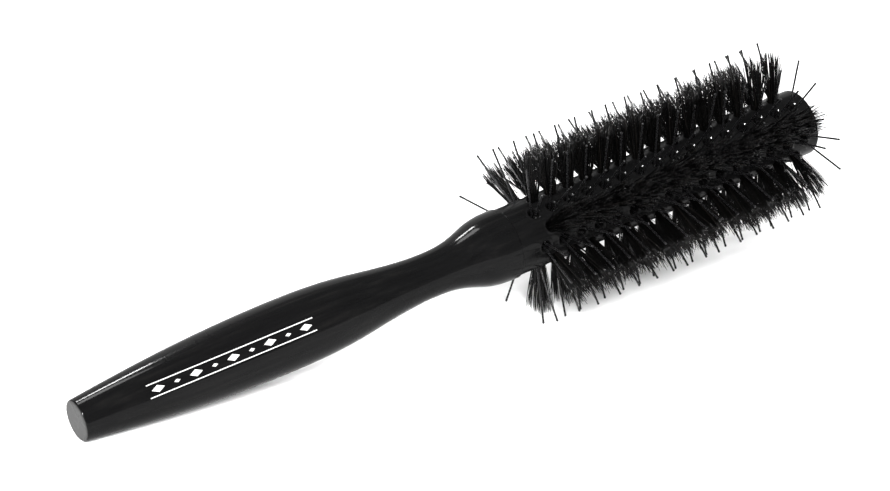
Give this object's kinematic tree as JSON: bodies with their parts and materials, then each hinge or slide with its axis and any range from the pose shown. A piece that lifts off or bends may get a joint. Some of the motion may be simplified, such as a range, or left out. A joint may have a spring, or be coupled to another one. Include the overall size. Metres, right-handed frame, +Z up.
{
  "type": "round barrel hair brush",
  "caption": "Round styling brush: turned black lacquered handle with a waist, glued into a slim cylindrical barrel set with alternating rows of dark bristle tufts and pairs of thin pins.",
  "frame": {"origin": "centre of the bounding box on the surface that the brush lies on", "axes": "+X runs level from the handle's end to the barrel's end, +Z up; the brush's own axis rises from the handle towards +X by about 7.5 degrees"},
  "size_m": [0.2442, 0.0524, 0.062],
  "materials": {
    "handle_lacquer": "gloss",
    "barrel_lacquer": "gloss",
    "boar_bristle": "satin",
    "nylon_pin": "satin",
    "anchor_steel": "satin"
  },
  "bodies": {
    "root": {"handle": "handle_lacquer", "barrel": "barrel_lacquer", "bristle_row_1": "boar_bristle", "bristle_anchors_1": "anchor_steel", "pin_row_1": "nylon_pin", "pin_anchors_1": "anchor_steel", "bristle_row_2": "boar_bristle", "bristle_anchors_2": "anchor_steel", "pin_row_2": "nylon_pin", "pin_anchors_2": "anchor_steel", "bristle_row_3": "boar_bristle", "bristle_anchors_3": "anchor_steel", "pin_row_3": "nylon_pin", "pin_anchors_3": "anchor_steel", "bristle_row_4": "boar_bristle", "bristle_anchors_4": "anchor_steel", "pin_row_4": "nylon_pin", "pin_anchors_4": "anchor_steel", "bristle_row_5": "boar_bristle", "bristle_anchors_5": "anchor_steel", "pin_row_5": "nylon_pin", "pin_anchors_5": "anchor_steel", "bristle_row_6": "boar_bristle", "bristle_anchors_6": "anchor_steel", "pin_row_6": "nylon_pin", "pin_anchors_6": "anchor_steel"}
  },
  "joints": []
}
